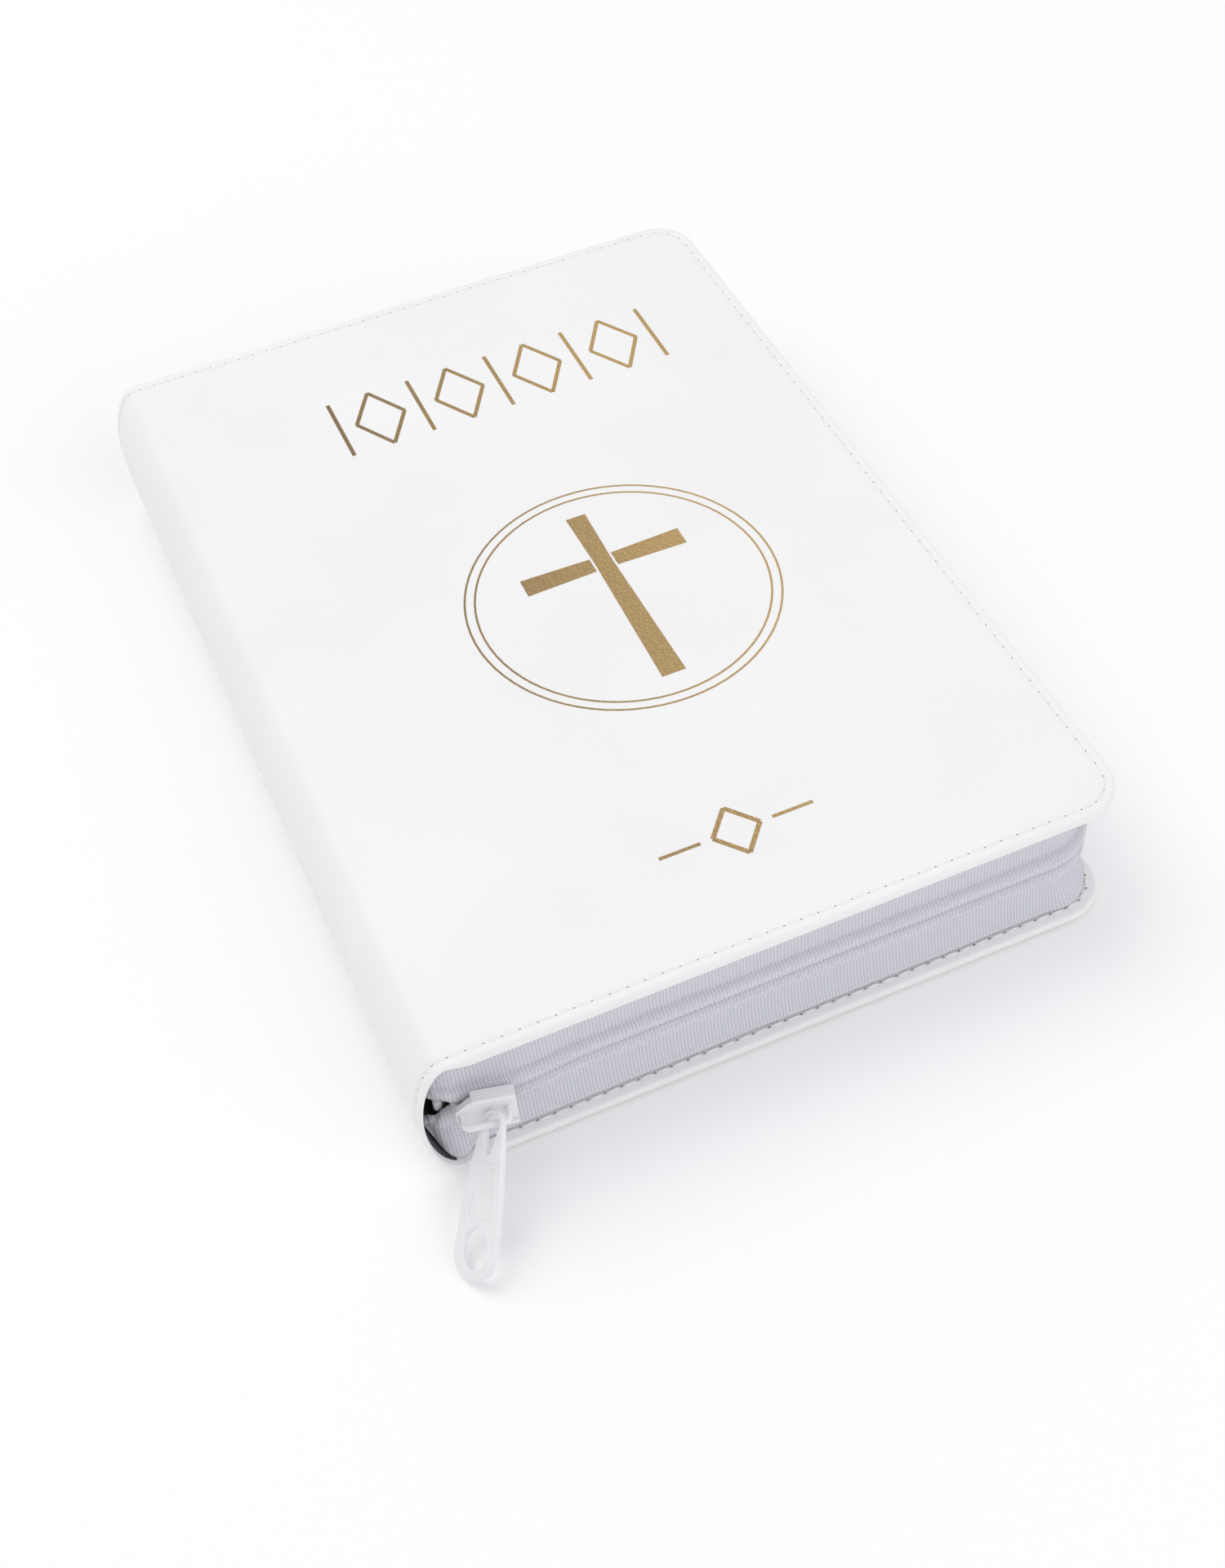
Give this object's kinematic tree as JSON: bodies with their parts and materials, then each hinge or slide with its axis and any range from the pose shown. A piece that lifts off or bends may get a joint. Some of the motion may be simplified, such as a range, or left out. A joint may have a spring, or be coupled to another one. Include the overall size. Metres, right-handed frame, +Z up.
{
  "type": "bible",
  "caption": "White leatherette bible in a zip-round case: padded covers, round spine, coil zip with slider and pull, sewn page sections, ribbon and headbands.",
  "frame": {"origin": "centre of the back cover's outer face, on the table", "axes": "+X from the spine to the fore-edge, +Y from the tail to the head, +Z up from the table through the closed book"},
  "size_m": [0.1391, 0.2179, 0.0323],
  "materials": {
    "leatherette": "fine-grained matte white leatherette",
    "board": "grey-brown binder's board",
    "lining": "fine off-white lining",
    "tape": "ribbed woven polyester zip tape, cool white",
    "nylon": "satin white nylon",
    "enamel": "glossy white enamel on die-cast zinc",
    "paper": "thin cream bible paper, cut edges",
    "thread": "white polyester sewing thread",
    "ribbon": "golden satin ribbon"
  },
  "bodies": {
    "back_cover": {"back_cover_skin": "leatherette", "back_cover_board": "board", "back_cover_lining": "lining", "back_stitching": "thread", "lower_zip_tape": "tape", "lower_zip_coil": "nylon"},
    "book_block": {"spine_skin": "leatherette", "spine_stiffener": "board", "spine_lining": "lining", "block_mull": "lining", "back_flyleaf": "paper", "section_01": "paper", "section_02": "paper", "section_03": "paper", "section_04": "paper", "section_05": "paper", "section_06": "paper", "section_07": "paper", "section_08": "paper", "section_09": "paper", "section_10": "paper", "section_11": "paper", "ribbon_marker": "ribbon", "headband_head": "ribbon", "headband_tail": "ribbon", "upper_tape_end_tail": "tape", "upper_tape_end_head": "tape", "lower_tape_end_tail": "tape", "lower_tape_end_head": "tape", "upper_top_stop": "nylon", "lower_top_stop": "nylon", "bottom_stop": "nylon"},
    "front_cover": {"front_cover_skin": "leatherette", "front_cover_board": "board", "front_cover_lining": "lining", "front_stitching": "thread", "upper_zip_tape": "tape", "upper_zip_coil": "nylon"},
    "front_leaf": {"front_flyleaf": "paper"},
    "first_section": {"section_12": "paper"},
    "slider": {"zip_slider": "enamel"},
    "pull": {"pull_tab": "enamel"}
  },
  "joints": [
    {"name": "block_lift", "type": "hinge", "parent": "back_cover", "child": "book_block", "pos_m": [-0.0619, 0, -0.0003], "axis": [0, -1, 0], "range_deg": [0, 60]},
    {"name": "front_cover_open", "type": "hinge", "parent": "book_block", "child": "front_cover", "pos_m": [-0.0619, 0, 0.0326], "axis": [0, -1, 0], "range_deg": [0, 178]},
    {"name": "front_leaf_turn", "type": "hinge", "parent": "book_block", "child": "front_leaf", "pos_m": [-0.0602, 0, 0.0281], "axis": [0, -1, 0], "range_deg": [0, 94.34]},
    {"name": "first_section_turn", "type": "hinge", "parent": "book_block", "child": "first_section", "pos_m": [-0.058, 0, 0.0261], "axis": [0, -1, 0], "range_deg": [0, 81.88]},
    {"name": "zip_slide", "type": "slide", "parent": "back_cover", "child": "slider", "axis": [1, 0, 0], "range_m": [0, 0.1], "deforming": ["lower_zip_coil", "upper_zip_coil"]},
    {"name": "pull_swing", "type": "hinge", "parent": "slider", "child": "pull", "pos_m": [-0.0565, -0.1011, 0.01615], "axis": [-0.9755, 0.2198, 0], "range_deg": [0, 100]}
  ],
  "couplings": [
    {"joint": "front_leaf_turn", "follows": "front_cover_open", "ratio": 0.53},
    {"joint": "first_section_turn", "follows": "front_cover_open", "ratio": 0.46}
  ]
}
